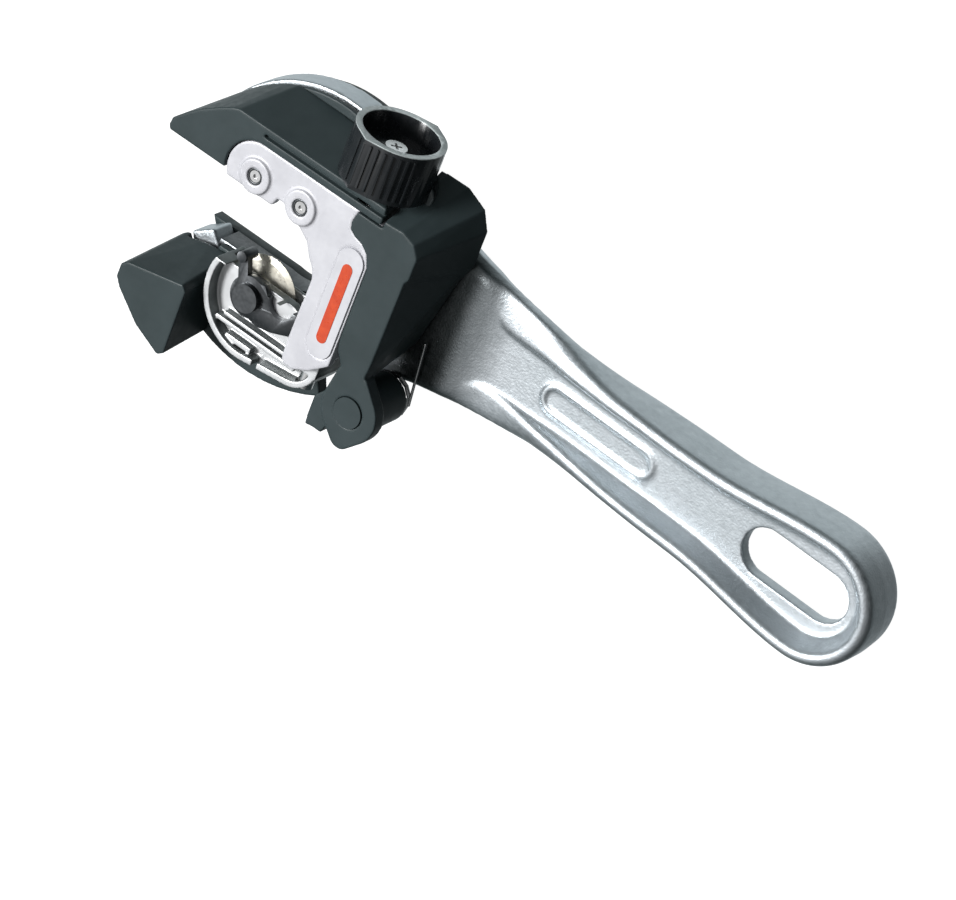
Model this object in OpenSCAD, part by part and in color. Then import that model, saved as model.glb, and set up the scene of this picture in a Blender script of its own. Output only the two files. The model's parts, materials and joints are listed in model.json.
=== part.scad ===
// Close-quarters tubing cutter with a ratchet handle.
// Frame: the tube axis is Z through the origin, the handle runs along +X, the feed screw runs along Y,
// and z = 0 is the flat back that the tool lies on. Millimetres.

/* [Handle] */
// Distance from the tube axis to the centre of the handle's round end
handle_reach = 167; // [150:1:190]
// Radius of the handle's round end
end_r = 18.2; // [16:0.1:20]
// Thickness of the handle's flanges
handle_t = 16; // [14:0.5:16]
// Thickness of the web between the two recesses
web_t = 4; // [4:0.5:6]
// Width of the flange rim round the recess
rim_w = 3.4; // [3:0.2:4.6]
// Width of the hanging slot
slot_w = 13.6; // [10:0.2:15]
// End-to-end length of the hanging slot
slot_len = 31.7; // [24:0.1:32]

/* [Ratchet ring] */
// Outer radius of the ring
ring_r = 37.7; // [37:0.1:38.5]
// Radius of the ring's bore
bore_r = 30; // [29.8:0.1:30.2]
// Thickness of the ring
ring_t = 8; // [7:0.5:8]
// Number of ratchet teeth in a full circle
tooth_count = 36; // [36:12:48]
// Half angle of the mouth of the ring
mouth_half = 33; // [32:1:36]

/* [Cutter] */
// Radius of the cutting wheel
wheel_r = 9.9; // [9:0.1:9.9]
// Radius of each tube roller
roller_r = 5.5; // [5:0.1:5.6]
// Half the distance between the two rollers
roller_x = 7.6; // [7.4:0.1:8]
// Height of the rollers above the tube axis
roller_y = 15; // [14.5:0.1:15.5]
// Depth of the wheel below the tube axis at rest
wheel_y = 19; // [19:0.1:20]

/* [Feed] */
// Distance of the feed screw from the tube axis
screw_x = 23.5; // [23:0.1:24]
// Height of the feed screw above the back
screw_z = 25.5; // [25.3:0.1:25.6]
// Radius of the feed screw
screw_r = 2.2; // [2:0.1:2.2]
// Outer radius of the feed knob
knob_r = 13; // [12:0.1:13]
// Height of the feed knob
knob_h = 14.5; // [13:0.5:16]

/* [Hidden] */
$fn = 96;

eps = 0.01;
run_gap = 0.05;                       // radial clearance of a running fit
move_gap = 0.3;                       // gap between pieces that move past each other
handle_z = handle_t / 2;              // mid-plane of handle, ring and gear
ring_z0 = handle_z - ring_t / 2;
ring_z1 = handle_z + ring_t / 2;
gear_z0 = ring_z0 + 0.2;
gear_z1 = ring_z1 - 0.2;
base_z0 = ring_z1 + 0.4;
base_z1 = base_z0 + 2;
back_z1 = base_z1 + 2;                // front of the cutter's back plate
slide_z0 = back_z1 + move_gap;
plate_z0 = 29;
plate_z1 = 31.5;
slide_z1 = plate_z0 - move_gap;
guard_z1 = 32;
cut_z = 20;                           // plane of the cutting wheel
frame_top = 23.8;
boss_r = 4.7;
lip_r = 45.2;
knob_y0 = 31.4;
throat_top = 11.8;
throat_low = -18.4;
throat_r = 18.6;
pawl_at = [34.5, 11.5];
latch_at = [41, -27];
plate_end = [-8.2, 15];
plate_end_r = 8.8;
slot_x = 159.9;
rest_turn = -1.6;                     // the handle stands this far round from the head's X axis

// Half widths and half thicknesses of the handle at stations along X
WIDTHS = [[20, 29], [36, 25], [45, 21.5], [70, 17], [100, 13.8], [130, 14.2], [167, 18.2]];
DEPTHS = [[-40, 4], [53, 4], [60, 2.8], [67, 2.4], [86, 5], [104, 7.2], [122, 8], [190, 8]];

function ease(t) = (1 - cos(180 * t)) / 2;
function step_at(list, x, i = 0) =
    (i >= len(list) - 2 || x < list[i + 1][0]) ? i : step_at(list, x, i + 1);
function smooth(list, x) =
    let (i = step_at(list, x), a = list[i], b = list[i + 1], t = (x - a[0]) / (b[0] - a[0]))
    a[1] + (b[1] - a[1]) * (0.35 * ease(t) + 0.65 * t);
function arc(r, a0, a1, n, c = [0, 0]) =
    [for (i = [0 : n]) let (a = a0 + (a1 - a0) * i / n) [c[0] + r * cos(a), c[1] + r * sin(a)]];

module bar_z(r, z0, z1, at = [0, 0]) {
    translate([at[0], at[1], z0]) cylinder(r = r, h = z1 - z0);
}
module at_rest() {
    rotate([0, 0, rest_turn]) children();
}
module bar_y(r, y0, y1, x, z) {
    translate([x, y0, z]) rotate([-90, 0, 0]) cylinder(r = r, h = y1 - y0);
}
module slab(z0, z1) {
    translate([0, 0, z0]) linear_extrude(z1 - z0) children();
}
module stadium(x, length, width) {
    for (s = [-1, 1]) translate([x + s * (length - width) / 2, 0]) circle(r = width / 2);
    translate([x - (length - width) / 2, -width / 2]) square([length - width, width]);
}
// A loft between an outline at z0 and one at z1
module loft(low, z0, high, z1) {
    skin = 0.2;
    hull() {
        slab(z0, z0 + skin) polygon(low);
        slab(z1 - skin, z1) polygon(high);
    }
}
// The opening that the tube enters by: a straight slot from -X into a round seat
module throat(grow = 0) {
    circle(r = throat_r + grow);
    translate([-60, throat_low - grow]) square([60, throat_top - throat_low + 2 * grow]);
}
// A helical wire of round section, its axis along Z from z = 0
module coil(r, wire, turns, length) {
    sides = 8;
    steps = 14;
    n = round(turns * steps);
    ring = [for (i = [0 : n], j = [0 : sides - 1])
        let (a = 360 * i / steps, b = 360 * j / sides, q = r + wire * cos(b))
        [q * cos(a), q * sin(a), length * i / n + wire * sin(b)]];
    walls = [for (i = [0 : n - 1], j = [0 : sides - 1]) let (k = (j + 1) % sides)
        [i * sides + j, i * sides + k, (i + 1) * sides + k, (i + 1) * sides + j]];
    ends = [[for (j = [sides - 1 : -1 : 0]) j], [for (j = [0 : sides - 1]) n * sides + j]];
    polyhedron(ring, concat(walls, ends));
}
module countersunk(r, z0, z1, at) {
    head = r * 0.9;
    translate([at[0], at[1], z0]) cylinder(r1 = r + head, r2 = r, h = head);
    bar_z(r, z0 + head - eps, z1, at);
}

// ---- Handle --------------------------------------------------------------------------------------
module handle_outline(inset = 0, x0 = 20) {
    xs = [for (x = [x0 : 8 : handle_reach]) x];
    top = [for (x = xs) [x, smooth(WIDTHS, x) * end_r / 18.2 - inset]];
    bottom = [for (i = [len(xs) - 1 : -1 : 0]) [top[i][0], -top[i][1]]];
    polygon(concat(top, arc(end_r - inset, 90, -90, 18, [handle_reach, 0]), bottom));
}
module handle_depth() {
    xs = [for (x = [-40 : 6 : 190]) x];
    high = [for (x = xs) [x, handle_z + smooth(DEPTHS, x) * handle_t / 16]];
    low = [for (i = [len(xs) - 1 : -1 : 0]) [xs[i], handle_z - smooth(DEPTHS, xs[i]) * handle_t / 16]];
    translate([0, 60, 0]) rotate([90, 0, 0]) linear_extrude(120) polygon(concat(high, low));
}
// Recess inside the flange rim: it begins where the flanges rise out of the neck
module recess() {
    xs = [for (x = [75 : 6 : handle_reach]) x];
    top = [for (x = xs) [x, smooth(WIDTHS, x) * end_r / 18.2 - rim_w]];
    bottom = [for (i = [len(xs) - 1 : -1 : 0]) [top[i][0], -top[i][1]]];
    polygon(concat(top, arc(end_r - rim_w, 90, -90, 14, [handle_reach, 0]), bottom));
}
module pawl_pocket() {
    slab(ring_z0 + 1.2, ring_z1 - 1.8) {
        translate([27, -6]) square([14, 10]);
        translate([30, -3]) square([18, 6]);
        translate([29.5, 2]) square([9.5, 10]);
        translate(pawl_at) circle(r = 4.6);
    }
}
module cover_shape() {
    translate([30.5, -8]) square([22, 26]);
}
COVER_SCREWS = [[49.5, 14.5], [49.5, -5]];
module ratchet_handle() {
    color([0.74, 0.77, 0.8]) at_rest() difference() {
        intersection() {
            union() {
                slab(0, handle_t) circle(r = ring_r);
                slab(0, handle_t) handle_outline();
            }
            handle_depth();
        }
        bar_z(bore_r, -1, handle_t + 1);
        slab(-1, handle_t + 1)
            polygon(concat([[0, 0]], arc(80, 180 - mouth_half, 184 + mouth_half, 4)));
        for (z = [-1, handle_z + web_t / 2])
            slab(z, z + handle_z - web_t / 2 + 1) recess();
        slab(-1, handle_t + 1) stadium(slot_x, slot_len, slot_w);
        pawl_pocket();
        slab(ring_z0 - 1, ring_z0 + 1.2) cover_shape();
        bar_z(1.5, ring_z0 + 1, ring_z1 - 0.8, pawl_at);
        for (p = COVER_SCREWS) bar_z(1, ring_z0, ring_z1 - 1.5, p);
    }
}
module pawl() {
    nose = [[37.5, 11.2], [37, 9.2], [36.4, 3], [34.4, -1.7], [31.2, -1.7], [30.2, -1.1], [28.7, -0.35],
        [28.7, 0.35], [30.4, 1.1], [31.2, 3.4], [31.5, 11.2]];
    color([0.45, 0.46, 0.48]) at_rest() difference() {
        union() {
            slab(ring_z0 + 1.5, ring_z1 - 2.1) polygon(nose);
            bar_z(3.4, ring_z0 + 1.5, ring_z1 - 2.1, pawl_at);
        }
        bar_z(1.5 + run_gap, 0, handle_t, pawl_at);
    }
}
module pawl_pin() {
    color("silver") at_rest() bar_z(1.5, ring_z0 + 1.2, ring_z1 - 0.8, pawl_at);
}
module pawl_spring() {
    color("lightgrey") at_rest() translate([37.1, 0, handle_z - 0.3]) rotate([0, 90, 0])
        coil(1.6, 0.3, 6, 10);
}
module pawl_cover() {
    color([0.55, 0.57, 0.6]) at_rest() difference() {
        slab(ring_z0, ring_z0 + 1.2) intersection() {
            cover_shape();
            difference() {
                circle(r = 70);
                circle(r = bore_r + 0.4);
            }
        }
        for (p = COVER_SCREWS) bar_z(1.9, 0, handle_t, p);
    }
}
module pawl_cover_screws() {
    color([0.3, 0.3, 0.32]) at_rest() for (p = COVER_SCREWS) {
        bar_z(1.9, ring_z0 + 0.1, ring_z0 + 1.2, p);
        bar_z(1, ring_z0 + 1.1, ring_z1 - 1.5, p);
    }
}

// ---- Ratchet gear and the plates that hold it in the ring ----------------------------------------
tip_r = bore_r - run_gap;
root_r = bore_r - 2.2;
module gear_outline() {
    pitch = 360 / tooth_count;
    polygon([for (i = [0 : tooth_count - 1], k = [0 : 3])
        let (a = pitch * (i + 0.5 + [-0.36, -0.1, 0.1, 0.36][k]), r = (k == 1 || k == 2) ? tip_r : root_r)
        [r * cos(a), r * sin(a)]]);
}
HUB_HOLES = [for (a = [-75, -25, 25, 75, 118]) [24 * cos(a), 24 * sin(a)]];
module ratchet_gear() {
    color([0.42, 0.43, 0.45]) difference() {
        slab(gear_z0, gear_z1) difference() {
            at_rest() gear_outline();
            throat();
        }
        for (p = HUB_HOLES) bar_z(1.5, 0, 20, p);
    }
}
module rear_plate() {
    color([0.12, 0.13, 0.14]) difference() {
        union() {
            slab(0, ring_z0 - move_gap) difference() {
                circle(r = 36);
                throat(0.4);
            }
            slab(ring_z0 - move_gap - eps, gear_z0) difference() {
                circle(r = 29);
                throat(0.4);
            }
        }
        for (p = HUB_HOLES) {
            bar_z(1.5, -1, 20, p);
            translate([p[0], p[1], -eps]) cylinder(r1 = 3, r2 = 1.5, h = 1.5);
        }
    }
}
module rear_screws() {
    color([0.55, 0.56, 0.58]) for (p = HUB_HOLES) countersunk(1.45, 0.05, base_z1 - 0.5, p);
}
// Base of the carrier: a C-shaped plate in front of the ring with a wider lip under the lower jaw
module carrier_base() {
    lip = concat(arc(lip_r, 232, 302, 12), arc(32, 305, 232, 12));
    color([0.13, 0.15, 0.16]) difference() {
        union() {
            slab(gear_z1, base_z0) circle(r = 29);
            slab(base_z0 - eps, base_z1) circle(r = 36.8);
            slab(base_z0, back_z1) polygon(lip);
        }
        slab(0, 40) throat(0.4);
        slab(0, 40) polygon([[-60, throat_low], [-20, throat_low], [-20, -30], [-60, -30]]);
        for (p = HUB_HOLES) bar_z(1.5, 0, base_z1 - 0.4, p);
        knob_room();
    }
}
// The box that the cutter's frame fills
module frame_room(gap) {
    slab(base_z1 - eps, 60)
        polygon([[plate_end[0], 4], [plate_end[0], frame_top + gap], [31 + gap, frame_top + gap],
            [31 + gap, -60], [plate_end[0], -60]]);
    bar_z(plate_end_r + gap, base_z1 - eps, 60, plate_end);
}
// Corner of the front plate that the side block's front face covers
module plate_ear(gap) {
    offset(delta = gap)
        polygon([[23.4, 23.6], [22.6, 20.2], [23, 18.2], [24.8, 17.1], [27.4, 16.4], [29.7, 14.6],
            [31, 11.3], [34, 11.3], [34, 23.6]]);
}
module knob_room() {
    gap = 0.5;
    bar_y(knob_r + gap, knob_y0 - gap, 60, screw_x, screw_z);
    bar_y(screw_r + 3.2, 20, 60, screw_x, screw_z);
}
// Upper guard: the beak over the mouth and the sloping cover above the frame
module upper_guard() {
    foot = concat([[-30, 9.2], [-35.4, 10.2]], arc(37.2, 161, 112, 8),
        [[14, 34.4], [28, 28], [28, 24.2], [-17, 12]]);
    front = [[-32, 9.1], [-35, 11.4], [-36.2, 13.4], [-35.9, 15.6], [-33, 18.7], [-29, 22.3],
        [-24.3, 25.6], [-20.4, 28], [-18.4, 28.8], [30.5, 28.8], [30.5, 24.2], [-17, 12]];
    color([0.13, 0.15, 0.16]) difference() {
        loft(foot, base_z1 + 0.02, front, guard_z1);
        frame_room(0.25);
        knob_room();
        slab(0, 60) throat(0.4);
        slab(guard_z1 - 1.4, 60) translate([-9, 26.1]) square([60, 0.8]);
    }
}
module lower_guard() {
    foot = [[-32.4, -23.4], [-31, -22.2], [-23.4, -20], [-16, -19.2], [-14, -22], [-14, -41],
        [-15.6, -42.4], [-24, -38.6], [-31.6, -30.6]];
    front = [[-35, -32.4], [-34.8, -28.6], [-33, -27], [-15.4, -23.1], [-14, -24.6], [-14, -44],
        [-15.8, -45.4], [-24.7, -41.6], [-33.1, -35]];
    color([0.13, 0.15, 0.16]) difference() {
        loft(foot, base_z0, front, 34);
        slab(0, base_z1) circle(r = 37.2);
        slab(0, back_z1 + 0.05) polygon(concat(arc(lip_r + 0.05, 231.5, 305, 12), arc(10, 305, 231.5, 6)));
    }
}
// Side block: the body of the carrier beside the frame, ending in the latch's front knuckle
module side_block() {
    foot = [[31.3, 36], [39, 36], [45.4, 33], [48.4, 28.3], [48.4, 18], [44.4, 8], [42.6, -10], [36.4, -19],
        [31.3, -19]];
    front = [[31.3, 25.6], [37, 25.8], [40.4, 24.2], [42.4, 21.5], [42.1, -12], [41.6, -18], [36, -19],
        [31.8, -13], [31.3, -10]];
    box_foot = [[33, 36.2], [40, 36.4], [46.5, 33.6], [49.5, 28.5], [49.6, 18], [46.6, 10.6],
        [38, 9.6], [33, 9.6]];
    box_front = [[33, 25.6], [37, 26], [41, 24.6], [43.2, 21.5], [43.2, 15.4], [42.4, 14],
        [38, 13.6], [33, 13.6]];
    color([0.13, 0.15, 0.16]) {
        slab(plate_z0 + 0.1, guard_z1) intersection() {
            plate_ear(0);
            square([31.3 + eps, 24]);
        }
        difference() {
            union() {
                loft(foot, base_z0, front, guard_z1);
                loft(box_foot, base_z0, box_front, guard_z1);
                hull() {
                    bar_z(8.6, 28, guard_z1, latch_at);
                    bar_z(3.4, 28, guard_z1, [41.4, -34.4]);
                    slab(28, guard_z1) polygon([[34, -17], [42.6, -16], [42.6, -18], [34, -19]]);
                }
            }
            frame_room(0.25);
            knob_room();
            slab(0, base_z1) circle(r = 37.2);
            bar_z(2.4, 20, 40, latch_at);
            bar_z(4.3, 31, 40, latch_at);
            bar_z(8.2, 0, 27.9, latch_at);
        }
    }
}

// ---- Latch -----------------------------------------------------------------------------------------
module latch_lever() {
    color([0.13, 0.15, 0.16]) difference() {
        union() {
            bar_z(6.8, 15.1, 27.7, latch_at);
            slab(19, 27.7) polygon([[36, -33], [33.6, -39.6], [28.4, -40], [28.2, -31.4], [34, -23.4],
                [40, -22]]);
            bar_z(4.2, base_z0 + 0.6, 15.6, latch_at);
        }
        bar_z(2.4 + run_gap, 0, 40, latch_at);
    }
}
module latch_pin() {
    color([0.15, 0.17, 0.18]) {
        bar_z(2.4, base_z0 + 0.2, 31.1, latch_at);
        bar_z(4.2, 31, guard_z1 + 0.4, latch_at);
    }
}
// Torsion spring round the pin, with one leg against the side block
module latch_spring() {
    color("lightgrey") translate([latch_at[0], latch_at[1], base_z0 + 0.5]) {
        coil(6.2, 0.35, 2.1, 1.75);
        hull() for (p = [[6.3, 0.4, 0.3], [4.8, 19, 1.4]]) translate(p) sphere(r = 0.4, $fn = 12);
    }
}

// ---- Cutter frame ------------------------------------------------------------------------------------
// Outline of the frame's front plate, from its rounded left end round the inside of the jaw
module plate_outline() {
    inner = concat([[-2.5, 13], [2.5, 13], [8, 10.5], [12.4, 7.6]], arc(7, 52, 2, 6, [10.5, -1.8]),
        [[17.1, -20], [17.4, -25.2], [18.6, -26.6], [21.5, -26.4], [26, -24], [30.9, -19.4]]);
    difference() {
        union() {
            polygon(concat([plate_end + [0, plate_end_r]], [[-12, 12]], inner,
                [[30.9, plate_end[1] + plate_end_r]]));
            difference() {
                translate(plate_end) circle(r = plate_end_r);
                translate([-20, -10]) square([20, 20.4]);
            }
            for (s = [-1, 1]) translate([s * roller_x, roller_y]) circle(r = boss_r);
        }
        plate_ear(0.1);
    }
}
ROLLERS = [for (s = [-1, 1]) [s * roller_x, roller_y]];
module cutter_frame() {
    color([0.9, 0.9, 0.92]) difference() {
        union() {
            slab(plate_z0, plate_z1) plate_outline();
            for (p = ROLLERS) bar_z(boss_r, plate_z1 - eps, plate_z1 + 0.8, p);
            slab(back_z1, plate_z0 + eps) {
                translate([plate_end[0], frame_top - 2.2]) square([30.9 - plate_end[0], 2.2]);
                translate([28.6, -18]) square([2.3, 18 + frame_top]);
            }
        }
        for (p = ROLLERS) {
            bar_z(1.6, 0, 60, p);
            bar_z(2.3, plate_z1 - 0.8, 60, p);
        }
        bar_y(screw_r + run_gap, 0, 40, screw_x, screw_z);
        slab(plate_z1 - 0.4, 60) badge_shape(0.1);
    }
}
module badge_shape(gap = 0) {
    translate([26.3, -2.6]) rotate(90) {
        for (s = [-1, 1]) translate([s * 12.6, 0]) circle(r = 3.9 + gap);
        translate([-12.6, -3.9 - gap]) square([25.2, 7.8 + 2 * gap]);
    }
}
module badge() {
    color([0.86, 0.86, 0.88]) slab(plate_z1 - 0.4, plate_z1 + 0.4) badge_shape();
}
RIVETS = [[12, 22.7], [-4, 22.7], [29.75, 14], [29.75, -14]];
module frame_back_plate() {
    color([0.72, 0.73, 0.75]) difference() {
        union() {
            bar_z(plate_end_r - 0.05, base_z1, back_z1, plate_end);
            slab(base_z1, back_z1)
                polygon([[-10, 12], [-10, frame_top - 0.3], [-8, frame_top], [30.9, frame_top],
                    [30.9, -15.5], [14, -15.5], [10, 0]]);
        }
        slab(0, 60) throat(0.4);
        for (p = ROLLERS) bar_z(1.6, 0, 60, p);
        for (p = RIVETS) bar_z(0.9, back_z1 - 1.2, back_z1 + 1, p);
    }
}
module frame_rivets() {
    color([0.6, 0.6, 0.62]) for (p = RIVETS) bar_z(0.9, back_z1 - 1.2, back_z1 - eps, p);
}
module roller(at) {
    half = 0.5;                       // half width of the groove that the wheel's edge runs in
    color([0.78, 0.79, 0.81]) difference() {
        union() {
            bar_z(roller_r, slide_z0, cut_z - half, at);
            bar_z(roller_r - 0.7, cut_z - half - eps, cut_z + half + eps, at);
            bar_z(roller_r, cut_z + half, slide_z1, at);
        }
        bar_z(1.6 + run_gap, 0, 60, at);
    }
}
module roller_pin(at) {
    color([0.4, 0.42, 0.44]) difference() {
        bar_z(1.6, base_z1 + 0.2, plate_z1 + 0.3, at);
        bar_z(0.6, plate_z1 - 0.2, 60, at);
    }
}
module roller_left() { roller(ROLLERS[0]); }
module roller_right() { roller(ROLLERS[1]); }
module roller_pin_left() { roller_pin(ROLLERS[0]); }
module roller_pin_right() { roller_pin(ROLLERS[1]); }

// ---- Slide that carries the wheel ----------------------------------------------------------------
wheel_at = [0, -wheel_y];
nut_r = 2.9;
module slide_outline(inset = 0) {
    polygon(concat(arc(16.4 - inset, 160, 270, 16, [3.4, -19]), arc(9 - inset, 275, 356, 8, [18.4, -24.6]),
        [[27.4 - inset, -8], [18.6 + inset * 0.4, -8], [16, -16], [12, -14.6]]));
}
module wheel_slide() {
    wall = 1.8;
    color([0.86, 0.87, 0.9]) difference() {
        union() {
            slab(slide_z0, slide_z1) difference() {
                slide_outline();
                slide_outline(wall);
            }
            slab(22.2, 25) slide_outline();
            slab(slide_z0, slide_z0 + 1.1) difference() {
                slide_outline();
                translate([-30, -wheel_y + 5]) square([46, 30]);
            }
            slab(slide_z0, slide_z1) translate([18.8, -27]) square([8.5, 19]);
            slab(25 - eps, 27.4) {
                translate([-7, -29.6]) square([27, 1.4]);
                translate([-5, -27.4]) square([25, 1.2]);
                translate([-2.4, -33]) square([8.6, 1.6]);
            }
        }
        slab(17.8, 22.2) translate([0, -wheel_y]) circle(r = wheel_r + 0.8);
        slab(17.8, 22.2) translate([-wheel_r - 0.8, -wheel_y]) square([2 * wheel_r + 1.6, 20]);
        slab(0, 60) translate([-8.4, -14.4]) square([24.4, 30]);
        slab(25, 60) translate([8.4, -40]) square([1.6, 8]);
        bar_z(2, 0, 60, wheel_at);
        bar_y(nut_r, -26, 0, screw_x, screw_z);
        bar_y(screw_r + 0.4, -60, -25, screw_x, screw_z);
    }
}
// Dark bracket over the wheel with a half-round window beside the pin
module wheel_bracket() {
    color([0.3, 0.32, 0.33]) difference() {
        union() {
            bar_z(5.8, 25, 27, wheel_at);
            hull() {
                bar_z(1.5, 25, 27, [-3.4, -15]);
                bar_z(1.5, 25, 27, [-5.4, -9.6]);
            }
            bar_z(1.5, 22.4, 27.8, [-5.4, -9.6]);
            slab(25, 27) polygon([[1, -14], [3.6, -13.3], [5.2, -15.4], [16.4, -15.4], [16.4, -21.2],
                [9.6, -24], [5, -25], [-2, -23.6]]);
        }
        slab(20, 30) translate([9.8, -15.4]) circle(r = 3.9);
        bar_z(2, 0, 60, wheel_at);
    }
}
module cutter_wheel() {
    edge = 0.9;
    color([0.82, 0.78, 0.7]) translate([0, -wheel_y, cut_z]) rotate_extrude()
        polygon([[2 + run_gap, -1.9], [4, -1.9], [4, -1], [wheel_r - 1.6, -edge * 0.6], [wheel_r, -0.04],
            [wheel_r, 0.04], [wheel_r - 1.6, edge * 0.6], [4, 1], [4, 1.9], [2 + run_gap, 1.9]]);
}
clip_z0 = slide_z0 - 1.2;
module wheel_pin() {
    color([0.33, 0.35, 0.36]) {
        bar_z(2, clip_z0 - 0.4, clip_z0, wheel_at);
        bar_z(1.5, clip_z0 - eps, clip_z0 + 0.8, wheel_at);
        bar_z(2, clip_z0 + 0.8 - eps, 27.2, wheel_at);
        bar_z(3.9, 27, 28.8, wheel_at);
    }
}
// Retaining clip in the pin's groove, open on one side
module wheel_clip() {
    color("silver") slab(clip_z0 + 0.05, clip_z0 + 0.75) translate(wheel_at) difference() {
        circle(r = 3.4);
        circle(r = 1.5);
        translate([0, -1.1]) square([5, 2.2]);
    }
}
module feed_nut() {
    color([0.8, 0.65, 0.3]) difference() {
        bar_y(nut_r, -26, -9, screw_x, screw_z);
        bar_y(screw_r + run_gap, -60, 0, screw_x, screw_z);
    }
}

// ---- Feed screw and knob --------------------------------------------------------------------------
module feed_screw() {
    color([0.6, 0.62, 0.64]) difference() {
        union() {
            bar_y(screw_r, -32, knob_y0 + 5.5, screw_x, screw_z);
            bar_y(4.4, frame_top + 0.4, frame_top + 1.6, screw_x, screw_z);
        }
        bar_y(1.25, knob_y0, 60, screw_x, screw_z);
    }
}
// The grip is round with two blunt corners, and a row of ribs runs on from each corner
module feed_knob() {
    rib_count = 9;
    rib_step = 9.4;
    cup = 6;
    body_r = knob_r - 1;
    corner = -100;
    half = acos(body_r / knob_r);
    color([0.1, 0.11, 0.12]) difference() {
        union() {
            bar_y(body_r, knob_y0, knob_y0 + knob_h, screw_x, screw_z);
            translate([screw_x, knob_y0, screw_z]) rotate([-90, 0, 0]) linear_extrude(knob_h)
                polygon([for (k = [0, 180], a = [-half, 0, half])
                    (a == 0 ? knob_r : body_r) * [cos(corner + k + a), sin(corner + k + a)]]);
            intersection() {
                bar_y(knob_r, knob_y0, knob_y0 + knob_h, screw_x, screw_z);
                for (k = [0, 180], i = [0 : rib_count - 1])
                    let (a = (i - 1) * rib_step, r = body_r / cos(max(0, half - abs(a))) - 0.5)
                        translate([screw_x, knob_y0 + 1.2, screw_z]) rotate([0, corner + k + a, 0])
                            translate([r, 0, -0.3]) cube([0.9, knob_h - 2.4, 0.6]);
            }
        }
        bar_y(knob_r - 2.7, knob_y0 + knob_h - cup, 60, screw_x, screw_z);
        bar_y(screw_r, knob_y0 - 1, knob_y0 + 5.5, screw_x, screw_z);
        bar_y(1.25, knob_y0, 60, screw_x, screw_z);
    }
}
module knob_screw() {
    seat = knob_y0 + knob_h - 6;
    color("silver") difference() {
        union() {
            bar_y(1.25, knob_y0 + 1, seat, screw_x, screw_z);
            bar_y(2.9, seat, seat + 1.8, screw_x, screw_z);
        }
        for (a = [45, 135]) translate([screw_x, seat + 1.9, screw_z]) rotate([0, a, 0])
            cube([3, 1.6, 0.7], center = true);
    }
}
module thrust_washer() {
    color("silver") difference() {
        bar_y(5, frame_top, frame_top + 0.4, screw_x, screw_z);
        bar_y(screw_r + run_gap, 0, 60, screw_x, screw_z);
    }
}
module autofeed_spring() {
    color("silver") translate([screw_x, frame_top + 2.2, screw_z]) rotate([-90, 0, 0]) coil(4, 0.5, 4, 4.2);
}

ratchet_handle();
pawl();
pawl_pin();
pawl_spring();
pawl_cover();
pawl_cover_screws();
ratchet_gear();
rear_plate();
rear_screws();
carrier_base();
upper_guard();
lower_guard();
side_block();
cutter_frame();
frame_back_plate();
frame_rivets();
badge();
roller_left();
roller_right();
roller_pin_left();
roller_pin_right();
latch_lever();
latch_pin();
latch_spring();
wheel_slide();
wheel_bracket();
cutter_wheel();
wheel_pin();
wheel_clip();
feed_nut();
feed_screw();
feed_knob();
knob_screw();
thrust_washer();
autofeed_spring();
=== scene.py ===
import json
import math

import bmesh
import bpy
from mathutils import Matrix, Vector


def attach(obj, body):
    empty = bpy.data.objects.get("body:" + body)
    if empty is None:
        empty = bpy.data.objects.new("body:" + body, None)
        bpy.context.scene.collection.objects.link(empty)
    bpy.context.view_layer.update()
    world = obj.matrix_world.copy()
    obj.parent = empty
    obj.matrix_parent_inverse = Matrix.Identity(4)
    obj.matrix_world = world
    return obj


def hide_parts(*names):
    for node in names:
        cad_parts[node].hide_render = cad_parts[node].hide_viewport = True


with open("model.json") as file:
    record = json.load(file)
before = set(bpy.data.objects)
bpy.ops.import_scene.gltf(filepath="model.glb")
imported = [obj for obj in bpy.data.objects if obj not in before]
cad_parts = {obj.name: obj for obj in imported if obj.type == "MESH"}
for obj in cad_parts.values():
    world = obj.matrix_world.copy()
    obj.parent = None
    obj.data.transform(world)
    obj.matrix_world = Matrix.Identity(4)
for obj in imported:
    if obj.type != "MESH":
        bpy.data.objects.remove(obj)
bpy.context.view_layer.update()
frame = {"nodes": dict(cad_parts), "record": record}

MM = 0.001
WELD = 0.004         # corners of a CAD mesh closer than this, in mm, become one
SEAM = 0.002         # the same for the handle's own mesh
FLAT_ANGLE = 0.5     # faces that meet at less than this, in degrees, become one
SHARP_ANGLE = 32     # bevelled pieces keep edges above this angle, in degrees
CAD_SHARP_ANGLE = 35  # and CAD meshes above this one
SCENE = bpy.context.scene

# ---- Small helpers -------------------------------------------------------------------------------


def put(obj):
    SCENE.collection.objects.link(obj)
    return obj


def new_object(name, mesh):
    return put(bpy.data.objects.new(name, mesh))


def from_lists(name, verts, faces):
    """A mesh object from corners in mm and faces; its normals point outwards."""
    mesh = bpy.data.meshes.new(name)
    mesh.from_pydata([[c * MM for c in v] for v in verts], [], faces)
    mesh.validate()
    fix = bmesh.new()
    fix.from_mesh(mesh)
    bmesh.ops.recalc_face_normals(fix, faces=fix.faces)
    fix.to_mesh(mesh)
    fix.free()
    return new_object(name, mesh)


def cad_copy(node):
    """A copy of a CAD node's mesh, welded and with its flat faces merged."""
    mesh = frame["nodes"][node].data.copy()
    mesh.materials.clear()
    fix = bmesh.new()
    fix.from_mesh(mesh)
    bmesh.ops.remove_doubles(fix, verts=fix.verts, dist=WELD * MM)
    bmesh.ops.dissolve_limit(fix, angle_limit=math.radians(FLAT_ANGLE), verts=fix.verts, edges=fix.edges)
    fix.to_mesh(mesh)
    fix.free()
    mesh.name = node + "_look"
    return new_object(node + "_look", mesh)


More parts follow.
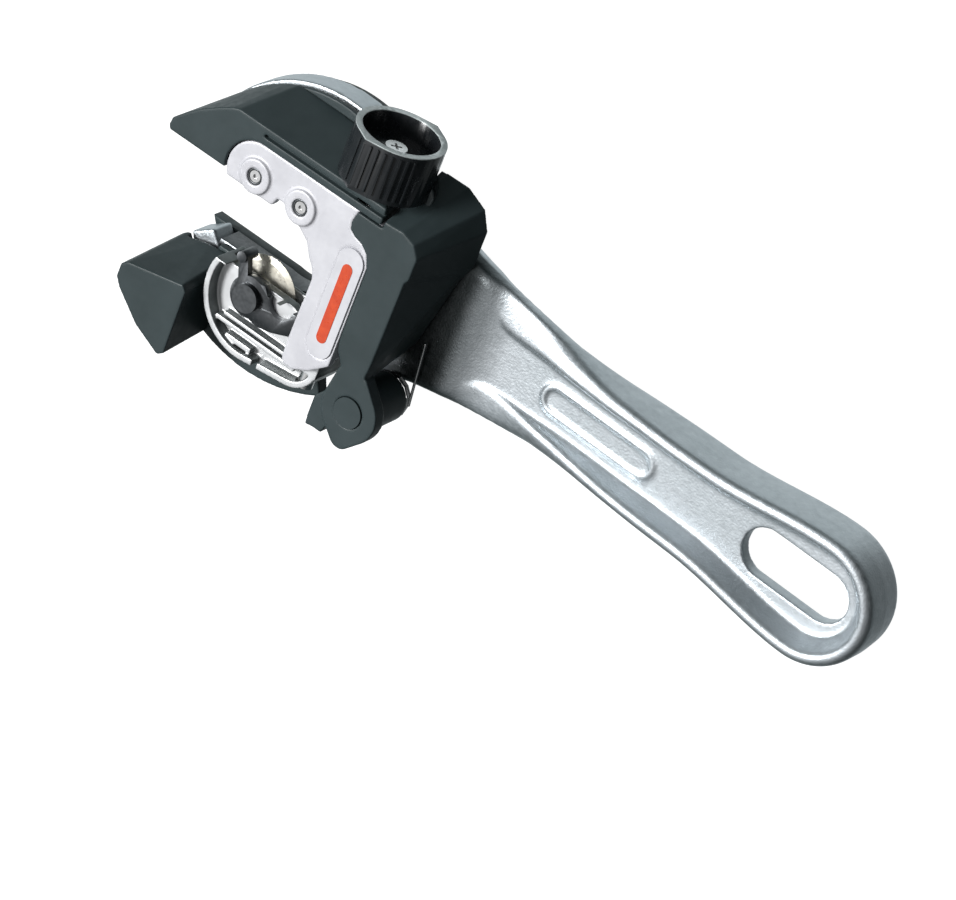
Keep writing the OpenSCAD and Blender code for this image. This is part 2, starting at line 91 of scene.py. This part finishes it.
def bake(obj):
    """Applies an object's modifiers."""
    bpy.context.view_layer.update()
    graph = bpy.context.evaluated_depsgraph_get()
    mesh = bpy.data.meshes.new_from_object(obj.evaluated_get(graph), depsgraph=graph)
    obj.modifiers.clear()
    old = obj.data
    obj.data = mesh
    bpy.data.meshes.remove(old)
    return obj


def combine(obj, other, how):
    """Boolean of two objects; the second is used up."""
    cut = obj.modifiers.new("cut", "BOOLEAN")
    cut.operation = how
    cut.solver = "EXACT"
    cut.object = other
    bake(obj)
    bpy.data.objects.remove(other)
    return obj


def cast(obj, voxel=0.4, rounds=4):
    """Turns a sharp solid into a moulded one: even quads with softly rounded edges."""
    grid = obj.modifiers.new("grid", "REMESH")
    grid.mode = "VOXEL"
    grid.voxel_size = voxel * MM
    soft = obj.modifiers.new("soft", "SMOOTH")
    soft.factor = 0.5
    soft.iterations = rounds
    bake(obj)
    obj.data.shade_smooth()
    return obj


def bevel(obj, width=0.25, segments=3):
    """Rounds the sharp edges by a width in mm."""
    edge = obj.modifiers.new("edge", "BEVEL")
    edge.width = width * MM
    edge.segments = segments
    edge.limit_method = "ANGLE"
    edge.angle_limit = math.radians(SHARP_ANGLE)
    edge.harden_normals = True
    bake(obj)
    obj.data.shade_smooth()
    obj.data.set_sharp_from_angle(angle=math.radians(SHARP_ANGLE))
    return obj


def prism(name, outline, z0, z1, top=None):
    """A straight or tapered prism from an outline in mm."""
    n = len(outline)
    top = top or outline
    verts = [(x, y, z0) for x, y in outline] + [(x, y, z1) for x, y in top]
    sides = [(i, (i + 1) % n, n + (i + 1) % n, n + i) for i in range(n)]
    return from_lists(name, verts, [tuple(range(n - 1, -1, -1)), tuple(range(n, 2 * n))] + sides)


def circle_points(r, centre=(0, 0), a0=0.0, a1=360.0, n=48, closed=True):
    """Points of an arc in n steps; a closed one leaves out its last point, which is its first."""
    steps = n if closed else n + 1
    return [(centre[0] + r * math.cos(math.radians(a0 + (a1 - a0) * i / n)),
             centre[1] + r * math.sin(math.radians(a0 + (a1 - a0) * i / n))) for i in range(steps)]


def stadium(x, length, width):
    """A slot's outline, long in X, about the point (x, 0)."""
    n = 20
    r = width / 2
    half = length / 2 - r
    right = circle_points(r, (x + half, 0), -90, 90, n, False)
    return right + circle_points(r, (x - half, 0), 90, 270, n, False)


def lathe(name, profile):
    """Turns a closed profile of (radius, height) about Z, in mm."""
    n = 64
    verts, faces = [], []
    m = len(profile)
    for i in range(n):
        a = 2 * math.pi * i / n
        verts += [(r * math.cos(a), r * math.sin(a), z) for r, z in profile]
    for i in range(n):
        for j in range(m):
            k = (i + 1) % n
            faces.append((i * m + j, k * m + j, k * m + (j + 1) % m, i * m + (j + 1) % m))
    return from_lists(name, verts, faces)


def place(obj, matrix):
    obj.data.transform(matrix)
    return obj


def finish_piece(obj, material, body, slot, *replaced):
    obj.data.materials.clear()
    obj.data.materials.append(material)
    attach(obj, body)
    if replaced:
        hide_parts(*replaced)
    return obj


# ---- Materials -----------------------------------------------------------------------------------
# Noise mostly stays between these values
NOISE_LOW = 0.3
NOISE_HIGH = 0.7
# The knob's pale rim sets in between these two places along Y, in mm
RIM_PALE = (45.55, 45.8)


class Recipe:
    """One procedural material: a Principled shader with noise in its colour, roughness and bump."""

    def __init__(self, name, colour, roughness, metallic=0.0, specular=0.5):
        self.mat = bpy.data.materials.new(name)
        self.mat.use_nodes = True
        self.nodes = self.mat.node_tree.nodes
        self.links = self.mat.node_tree.links
        self.shader = self.nodes["Principled BSDF"]
        self.shader.inputs["Base Color"].default_value = (*colour, 1)
        self.shader.inputs["Roughness"].default_value = roughness
        self.shader.inputs["Metallic"].default_value = metallic
        self.shader.inputs["Specular IOR Level"].default_value = specular
        self.coords = self.nodes.new("ShaderNodeTexCoord").outputs["Object"]
        self.normal = None

    def noise(self, per_mm, detail=3.0):
        """Noise in the object's own coordinates, with per_mm lumps in a millimetre."""
        scaled = self.nodes.new("ShaderNodeMapping")
        scaled.inputs["Scale"].default_value = [per_mm / MM] * 3
        self.links.new(self.coords, scaled.inputs["Vector"])
        tex = self.nodes.new("ShaderNodeTexNoise")
        tex.inputs["Scale"].default_value = 1.0
        tex.inputs["Detail"].default_value = detail
        self.links.new(scaled.outputs["Vector"], tex.inputs["Vector"])
        return tex.outputs["Fac"]

    def ramp(self, value, low, high):
        """From the low colour to the high one over the noise's middle range."""
        ramp = self.nodes.new("ShaderNodeValToRGB")
        ramp.color_ramp.elements[0].position = NOISE_LOW
        ramp.color_ramp.elements[1].position = NOISE_HIGH
        ramp.color_ramp.elements[0].color = (*low, 1)
        ramp.color_ramp.elements[1].color = (*high, 1)
        self.links.new(value, ramp.inputs["Fac"])
        return ramp.outputs["Color"]

    def span(self, value, low, high, from_low=NOISE_LOW, from_high=NOISE_HIGH):
        """Maps a value from one range to another, held at both ends."""
        node = self.nodes.new("ShaderNodeMapRange")
        node.inputs["From Min"].default_value = from_low
        node.inputs["From Max"].default_value = from_high
        node.inputs["To Min"].default_value = low
        node.inputs["To Max"].default_value = high
        self.links.new(value, node.inputs["Value"])
        return node.outputs["Result"]

    def facing_up(self):
        """0 on walls to 1 on faces that look along the object's own +Z."""
        parts = self.nodes.new("ShaderNodeSeparateXYZ")
        self.links.new(self.nodes.new("ShaderNodeTexCoord").outputs["Normal"], parts.inputs["Vector"])
        return self.span(parts.outputs["Z"], 0.0, 1.0, 0.35, 0.85)

    def along(self, axis, low_mm, high_mm):
        """0 to 1 along one axis of the object's own coordinates."""
        parts = self.nodes.new("ShaderNodeSeparateXYZ")
        self.links.new(self.coords, parts.inputs["Vector"])
        return self.span(parts.outputs[axis], 0.0, 1.0, low_mm * MM, high_mm * MM)

    def largest(self, first, second):
        node = self.nodes.new("ShaderNodeMath")
        node.operation = "MAXIMUM"
        self.links.new(first, node.inputs[0])
        self.links.new(second, node.inputs[1])
        return node.outputs[0]

    def blend(self, share, first, second):
        node = self.nodes.new("ShaderNodeMix")
        node.data_type = "RGBA"
        self.links.new(share, node.inputs["Factor"])
        self.links.new(first, node.inputs[6])
        self.links.new(second, node.inputs[7])
        return node.outputs[2]

    def colour(self, value):
        self.links.new(value, self.shader.inputs["Base Color"])

    def rough(self, value):
        self.links.new(value, self.shader.inputs["Roughness"])

    def bump(self, value, depth_mm, strength=1.0):
        node = self.nodes.new("ShaderNodeBump")
        node.inputs["Distance"].default_value = depth_mm * MM
        node.inputs["Strength"].default_value = strength
        self.links.new(value, node.inputs["Height"])
        if self.normal:
            self.links.new(self.normal, node.inputs["Normal"])
        self.normal = node.outputs["Normal"]
        self.links.new(self.normal, self.shader.inputs["Normal"])


def grey(level, cool=0.0):
    return (level, level + cool / 2, level + cool)


def cast_aluminium():
    """Sand-cast skin, with painted shade on the front of the neck beside the head."""
    neck_from, neck_to, front = (41, 37), (50, 66), (8.5, 7.5)
    m = Recipe("cast_aluminium", (0.5, 0.54, 0.565), 0.4, 0.94)
    grain = m.noise(1.5, 3)
    broad = m.ramp(m.noise(0.05, 4), (0.45, 0.49, 0.515), (0.55, 0.585, 0.615))
    fine = m.ramp(m.noise(0.7, 3), (0.42, 0.455, 0.475), (0.6, 0.635, 0.66))
    clean = m.blend(m.span(grain, 0.0, 0.5), broad, fine)
    # painted shade: a dark copy of the skin for the front of the neck beside the head
    neck_shade = m.ramp(m.noise(0.4, 3), (0.06, 0.07, 0.072), (0.09, 0.1, 0.102))
    off_neck_shade = m.largest(m.along("X", *neck_from), m.along("X", *neck_to))
    unshaded = m.largest(off_neck_shade, m.along("Z", *front))
    m.colour(m.blend(unshaded, neck_shade, clean))
    m.rough(m.span(m.noise(0.6, 3), 0.36, 0.47))
    m.bump(grain, 0.09, 0.8)
    m.bump(m.noise(0.35, 3), 0.05, 0.4)
    return m.mat


def black_plastic():
    m = Recipe("black_plastic", (0.029, 0.041, 0.044), 0.45, 0.0, 0.22)
    m.colour(m.ramp(m.noise(0.08, 3), (0.025, 0.036, 0.038), (0.033, 0.046, 0.049)))
    m.rough(m.span(m.noise(0.5, 3), 0.38, 0.5))
    m.bump(m.noise(3.2, 2), 0.012, 0.5)
    return m.mat


def gloss_black():
    """The knob's gloss, pale on the rim of its cup."""
    m = Recipe("gloss_black", (0.012, 0.014, 0.016), 0.22)
    body = m.ramp(m.noise(0.15, 2), (0.01, 0.012, 0.014), (0.018, 0.02, 0.022))
    pale_rim = m.ramp(m.noise(0.9, 3), (0.42, 0.47, 0.47), (0.55, 0.6, 0.6))
    m.colour(m.blend(m.along("Y", *RIM_PALE), body, pale_rim))
    m.rough(m.span(m.noise(0.4, 3), 0.16, 0.3))
    m.bump(m.noise(2.5, 2), 0.006, 0.4)
    return m.mat


def pale_zinc():
    m = Recipe("pale_zinc", (0.53, 0.53, 0.56), 0.42, 0.2)
    m.colour(m.ramp(m.noise(0.12, 3), (0.48, 0.48, 0.51), (0.55, 0.55, 0.58)))
    m.rough(m.span(m.noise(0.8, 3), 0.36, 0.48))
    m.bump(m.noise(2.4, 2), 0.015, 0.4)
    return m.mat


def slide_zinc():
    """Die-cast skin: bright faces that look along +Z, and walls coloured dark as painted shade."""
    m = Recipe("slide_zinc", (0.62, 0.63, 0.64), 0.42, 0.5)
    # painted shade: a dark copy of the zinc for the walls, blended in by facing
    walls = m.ramp(m.noise(0.3, 3), (0.1, 0.115, 0.115), (0.17, 0.185, 0.185))
    faces = m.ramp(m.noise(0.15, 3), (0.54, 0.55, 0.56), (0.62, 0.63, 0.64))
    m.colour(m.blend(m.facing_up(), walls, faces))
    m.rough(m.span(m.noise(0.5, 3), 0.36, 0.48))
    m.bump(m.noise(1.2, 2), 0.004, 0.3)
    return m.mat


def wheel_steel():
    m = Recipe("wheel_steel", (0.7, 0.67, 0.58), 0.3, 0.6)
    m.colour(m.ramp(m.noise(0.25, 3), (0.62, 0.59, 0.5), (0.74, 0.71, 0.63)))
    m.rough(m.span(m.noise(1.5, 3), 0.26, 0.4))
    m.bump(m.noise(3.0, 2), 0.004, 0.3)
    return m.mat


def steel(name, level, rough, per_mm=1.5, cool=0.0):
    m = Recipe(name, grey(level, cool), rough, 1.0)
    m.colour(m.ramp(m.noise(0.3, 3), grey(level * 0.9, cool), grey(level * 1.08, cool)))
    m.rough(m.span(m.noise(per_mm, 3), rough * 0.8, rough * 1.3))
    m.bump(m.noise(per_mm * 2, 2), 0.008, 0.4)
    return m.mat


def red_enamel():
    m = Recipe("red_enamel", (0.5, 0.05, 0.01), 0.3)
    m.colour(m.ramp(m.noise(0.5, 2), (0.45, 0.04, 0.008), (0.55, 0.06, 0.012)))
    m.rough(m.span(m.noise(1.2, 2), 0.25, 0.38))
    m.bump(m.noise(2.0, 2), 0.008, 0.3)
    return m.mat


def bronze():
    m = Recipe("bronze", (0.6, 0.42, 0.2), 0.3, 1.0)
    m.colour(m.ramp(m.noise(0.4, 3), (0.54, 0.37, 0.17), (0.66, 0.47, 0.24)))
    m.rough(m.span(m.noise(1.5, 3), 0.24, 0.4))
    return m.mat


MATS = {
    "cast_aluminium": cast_aluminium(),
    "black_plastic": black_plastic(),
    "knob_plastic": gloss_black(),
    "pale_zinc": pale_zinc(),
    "slide_zinc": slide_zinc(),
    "plated_steel": steel("plated_steel", 0.68, 0.24),
    "dark_steel": steel("dark_steel", 0.09, 0.36, 1.2, cool=0.01),
    "wheel_steel": wheel_steel(),
    "spring_steel": steel("spring_steel", 0.7, 0.2, 3.0),
    "bronze": bronze(),
    "red": red_enamel(),
}

# ---- Handle --------------------------------------------------------------------------------------
REACH = 167           # centre of the handle's round end, in mm along X
END_R = 18.2
# Stations along X, in mm: half width, then half thickness of the flanges and of the web between them
WIDTHS = [(20, 29), (36, 25), (45, 21.5), (70, 17), (100, 13.8), (130, 14.2), (REACH, END_R)]
DEPTHS = [(-40, 4), (20, 4), (53, 4), (60, 3), (67, 3), (86, 5.3), (104, 7.2), (122, 8), (145, 8), (190, 8)]
WEBS = [(-40, 4), (20, 4), (53, 4), (60, 2.8), (65, 2.1), (72, 1.8), (84, 1.9), (110, 2), (190, 2)]
# How far the rim's crest stands in from its place at the handle's end
CRESTS = [(20, 0), (54, 0.5), (63, 5), (80, 2.8), (98, 0.5), (110, 0), (190, 0)]
MID = 8               # height of the handle's middle plane
RING_Z = (4, 12)
RING_R = 37.7
BORE_R = 30
CUT_Z = (-5, 25)      # a cutter's reach, well past both faces
MOUTH = (147, 217)    # the ring is open between these angles, in degrees
# Centre along X, length and width of the hanging slot, the raised oval and the field inside it
SLOT = (159.9, 31.7, 13.6)
PANEL = (97, 36, 8.4)
PANEL_FIELD = (97, 33.8, 6.2)
PANEL_HEIGHT = (1.5, 2.55)    # the oval's foot and top above the middle plane
REST_TURN = -1.6      # how far the handle is turned at rest, in degrees


def smooth(stations, x):
    """A cubic through the stations that never overshoots them."""
    i = 0
    while i < len(stations) - 2 and x >= stations[i + 1][0]:
        i += 1

    def slope(k):
        if k <= 0 or k >= len(stations) - 1:
            return 0.0
        before = (stations[k][1] - stations[k - 1][1]) / (stations[k][0] - stations[k - 1][0])
        after = (stations[k + 1][1] - stations[k][1]) / (stations[k + 1][0] - stations[k][0])
        return 0.0 if before * after <= 0 else 2 * before * after / (before + after)

    (xa, ya), (xb, yb) = stations[i], stations[i + 1]
    width = xb - xa
    t = (x - xa) / width
    return (ya * (1 + 2 * t) * (1 - t) ** 2 + slope(i) * width * t * (1 - t) ** 2
            + yb * t * t * (3 - 2 * t) + slope(i + 1) * width * t * t * (t - 1))


def flange_profile(high, web, shift):
    """Pairs of inset from the outline and height above the middle plane, from the side to the web."""
    depth = high - web
    ease = min(1.0, depth / 3)
    run = 0.38 * depth
    edge = max(min(1.7, high - 0.8), high - 2.3 - 0.25 * shift)
    fall = high - edge
    crest = 2.4 + shift
    outside = [(0, 0), (0.05, 0.3), (0.3, edge), (0.22 * crest, high - 0.62 * fall),
               (0.4 * crest, high - 0.34 * fall), (0.68 * crest, high - 0.14 * fall), (crest, high)]
    inside = [(crest + 0.6, high - 0.1 * ease), (crest + 1.3, high - 0.42 * ease),
              (crest + 1.75, high - ease), (crest + 1.8 + run * 0.5, high - ease - 0.42 * depth)]
    foot = [(crest + 1.85 + run, web + 0.06 * depth), (crest + 2.3 + run, web + 0.01 * depth),
            (crest + 3.2 + run, web)]
    return outside + inside + foot


def handle_body():
    """The handle's flanges and web, from inside the ring to the round end.

    Each rim point is a place on the outline and the direction into the handle. The flange's profile stands
    on every one of them, on both sides of the middle plane; the webs close it across, and one face closes
    the end inside the ring.
    """
    start_x, step, arc_steps = 20, 2.0, 37
    xs = [start_x + step * i for i in range(int((REACH - start_x) / step))]
    upper = [(x, smooth(WIDTHS, x), 0, -1) for x in xs]
    lower = [(x, -y, 0, 1) for x, y, _, _ in reversed(upper)]
    arc = []
    for i in range(arc_steps + 1):
        a = math.radians(90 - 180 * i / arc_steps)
        arc.append((REACH + END_R * math.cos(a), END_R * math.sin(a), -math.cos(a), -math.sin(a)))
    rim = upper + arc + lower
    sections = [flange_profile(*(smooth(table, min(x, REACH)) for table in (DEPTHS, WEBS, CRESTS)))
                for x, _, _, _ in rim]
    m, k = len(rim), len(sections[0])
    verts, faces = [], []
    for sign in (1, -1):
        for (x, y, dx, dy), section in zip(rim, sections):
            verts += [(x + dx * inset, y + dy * inset, MID + sign * high) for inset, high in section]
    for side in (0, m * k):
        for j in range(m - 1):
            here, after = side + j * k, side + (j + 1) * k
            faces += [(here + i, after + i, after + i + 1, here + i + 1) for i in range(k - 1)]
        for j in range(m // 2 - 1):
            faces.append(tuple(side + q * k + k - 1 for q in (j, j + 1, m - 2 - j, m - 1 - j)))
    start = list(range(k)) + [(m - 1) * k + i for i in reversed(range(k))]
    start += [m * k + (m - 1) * k + i for i in range(1, k)] + [m * k + i for i in reversed(range(1, k))]
    faces.append(tuple(start))
    body = from_lists("ratchet_handle_look", verts, faces)
    fix = bmesh.new()
    fix.from_mesh(body.data)
    bmesh.ops.remove_doubles(fix, verts=fix.verts, dist=SEAM * MM)
    bmesh.ops.recalc_face_normals(fix, faces=fix.faces)
    fix.to_mesh(body.data)
    fix.free()
    return body


def handle():
    body = handle_body()
    combine(body, prism("ring", circle_points(RING_R, n=160), *RING_Z), "UNION")
    combine(body, prism("bore", circle_points(BORE_R, n=160), *CUT_Z), "DIFFERENCE")
    mouth = [(0, 0)] + circle_points(80, (0, 0), *MOUTH, 6, False)
    combine(body, prism("mouth", mouth, *CUT_Z), "DIFFERENCE")
    combine(body, prism("slot", stadium(*SLOT), *CUT_Z), "DIFFERENCE")
    for sign in (1, -1):
        panel = prism("panel", stadium(*PANEL), *(MID + sign * height for height in PANEL_HEIGHT))
        combine(panel, prism("inner", stadium(*PANEL_FIELD), MID - 5, MID + 5), "DIFFERENCE")
        combine(body, panel, "UNION")
    cast(body, 0.5, 8)
    place(body, Matrix.Rotation(math.radians(REST_TURN), 4, "Z"))
    return finish_piece(body, MATS["cast_aluminium"], "handle", "cast_aluminium", "ratchet_handle")


handle()

# ---- Carrier -------------------------------------------------------------------------------------


def carrier():
    for node in ("carrier_base", "upper_guard", "lower_guard", "side_block"):
        obj = cast(cad_copy(node), 0.28, 8)
        finish_piece(obj, MATS["black_plastic"], "head", "black_plastic", node)
    obj = cast(cad_copy("latch_lever"), 0.35, 3)
    finish_piece(obj, MATS["black_plastic"], "latch", "black_plastic", "latch_lever")


carrier()


def metal_parts():
    obj = cast(cad_copy("cutter_frame"), 0.28, 6)
    finish_piece(obj, MATS["pale_zinc"], "head", "pale_zinc", "cutter_frame")
    obj = cast(cad_copy("wheel_slide"), 0.22, 7)
    finish_piece(obj, MATS["slide_zinc"], "slide", "pale_zinc", "wheel_slide")
    obj = bevel(cad_copy("feed_knob"), 0.12, 2)
    finish_piece(obj, MATS["knob_plastic"], "knob", "knob_plastic", "feed_knob")
    for node, body in (("wheel_bracket", "slide"), ("rear_plate", "head"), ("ratchet_gear", "head")):
        slot = "black_plastic" if node == "rear_plate" else "dark_steel"
        finish_piece(bevel(cad_copy(node)), MATS[slot], body, slot, node)


metal_parts()


BADGE_AT = (26.3, -2.6)
STRIPE = (24, 3.2)
STRIPE_Z = (31.8, 32.0)
ROLLER_X = 7.6
ROLLER_Y = 15
# profile of the dark ring of painted shade round each roller pin's head, radius and height in mm
PIN_SHADE_PROFILE = [(1.64, 30.75), (2.26, 30.75), (2.26, 31.85), (2.1, 31.95), (1.8, 31.95), (1.64, 31.85)]


def trim():
    """The badge's stripe, and dark rings round the roller pins that fill each pin head's recess as painted
    shade.
    """
    stripe = prism("badge_stripe", stadium(0, *STRIPE), *STRIPE_Z)
    upright = Matrix.Rotation(math.radians(90), 4, "Z")
    place(stripe, Matrix.Translation((BADGE_AT[0] * MM, BADGE_AT[1] * MM, 0)) @ upright)
    finish_piece(bevel(stripe, 0.06, 2), MATS["red"], "head", "pale_zinc")
    # painted shade: dark steel rings set in the shadowed recess round each pin head
    for name, x in (("pin_shade_left", -ROLLER_X), ("pin_shade_right", ROLLER_X)):
        ring = place(lathe(name, PIN_SHADE_PROFILE), Matrix.Translation((x * MM, ROLLER_Y * MM, 0)))
        ring.data.shade_smooth()
        finish_piece(ring, MATS["dark_steel"], "head", "dark_steel")


trim()

# ---- CAD nodes that keep their shape -------------------------------------------------------------
SLOT_OF = {s["node"]: s["material_slot"] for s in frame["record"]["subparts"]}
for name, obj in frame["nodes"].items():
    if not obj.hide_render:
        obj.data.materials.clear()
        obj.data.materials.append(MATS[SLOT_OF[name]])
        obj.data.shade_smooth()
        obj.data.set_sharp_from_angle(angle=math.radians(CAD_SHARP_ANGLE))

# ---- Stage, light and camera ---------------------------------------------------------------------


def stage():
    """A white floor that lights nothing and shows in no reflection."""
    x0, x1, y, z = -900, 1100, 900, -0.02
    floor = from_lists("floor", [(x0, -y, z), (x1, -y, z), (x1, y, z), (x0, y, z)], [(0, 1, 2, 3)])
    m = Recipe("floor_white", (0.2, 0.2, 0.2), 0.8, 0.0, 0.1)
    m.colour(m.ramp(m.noise(0.01, 2), (0.19, 0.19, 0.19), (0.21, 0.21, 0.21)))
    m.shader.inputs["Emission Color"].default_value = (1, 1, 1, 1)
    m.shader.inputs["Emission Strength"].default_value = 0.99
    floor.data.materials.append(m.mat)
    floor.visible_diffuse = False
    floor.visible_glossy = False


def sun(name, towards, strength, spread):
    """A distant light; spread is its width in the sky, in degrees."""
    data = bpy.data.lights.new(name, "SUN")
    data.energy = strength
    data.angle = math.radians(spread)
    lamp = put(bpy.data.objects.new(name, data))
    lamp.rotation_euler = Vector(towards).to_track_quat("Z", "Y").to_euler()


def light():
    """A studio that is bright overhead and below, dark at the horizon and dimmer towards +X."""
    world = bpy.data.worlds.new("studio")
    world.use_nodes = True
    nodes, links = world.node_tree.nodes, world.node_tree.links
    direction = nodes.new("ShaderNodeTexCoord").outputs["Generated"]
    parts = nodes.new("ShaderNodeSeparateXYZ")
    links.new(direction, parts.inputs["Vector"])
    level = nodes.new("ShaderNodeMapRange")
    level.inputs["From Min"].default_value = -1
    links.new(parts.outputs["Z"], level.inputs["Value"])
    ramp = nodes.new("ShaderNodeValToRGB")
    stops = [(0.0, (1.1, 1.18, 1.2)), (0.2, (1.0, 1.1, 1.12)), (0.34, (0.3, 0.35, 0.355)),
             (0.48, (0.06, 0.08, 0.08)), (0.62, (0.07, 0.1, 0.1)), (0.74, (0.3, 0.36, 0.37)),
             (0.82, (0.82, 0.86, 0.89)), (0.9, (1.1, 1.1, 1.1))]
    elements = ramp.color_ramp.elements
    for i, (at, colour) in enumerate(stops):
        stop = elements[i] if i < 2 else elements.new(at)
        stop.position = at
        stop.color = (*colour, 1)
    links.new(level.outputs["Result"], ramp.inputs["Fac"])
    side = nodes.new("ShaderNodeMapRange")
    side.inputs["From Min"].default_value = -0.15
    side.inputs["From Max"].default_value = 0.4
    side.inputs["To Min"].default_value = 1.0
    side.inputs["To Max"].default_value = 0.26
    links.new(parts.outputs["X"], side.inputs["Value"])
    shade = nodes.new("ShaderNodeVectorMath")
    shade.operation = "SCALE"
    links.new(ramp.outputs["Color"], shade.inputs[0])
    links.new(side.outputs["Result"], shade.inputs["Scale"])
    links.new(shade.outputs["Vector"], nodes["Background"].inputs["Color"])
    nodes["Background"].inputs["Strength"].default_value = 0.74
    SCENE.world = world
    sun("key", (-0.5, 0.12, 0.86), 4.1, 18)


def camera():
    """Long lens, looking down at the front from the left of the knob."""
    across, along_up, distance, look_z = 49.0, -56.33, 1059.4, 20
    right = Vector((0.76679, 0.33162, -0.54960))
    up = Vector((-0.54019, 0.79588, -0.27344))
    back = Vector((0.34674, 0.50656, 0.78941))
    data = bpy.data.cameras.new("camera")
    data.sensor_width = 36
    data.lens = 155.7
    data.clip_end = 20
    cam = put(bpy.data.objects.new("camera", data))
    place_at = right * across * MM + up * along_up * MM + back * distance * MM + Vector((0, 0, look_z * MM))
    turn = Matrix((right, up, back)).transposed().to_4x4()
    cam.matrix_world = Matrix.Translation(place_at) @ turn
    SCENE.camera = cam


stage()
light()
camera()
SCENE.view_settings.view_transform = "Standard"
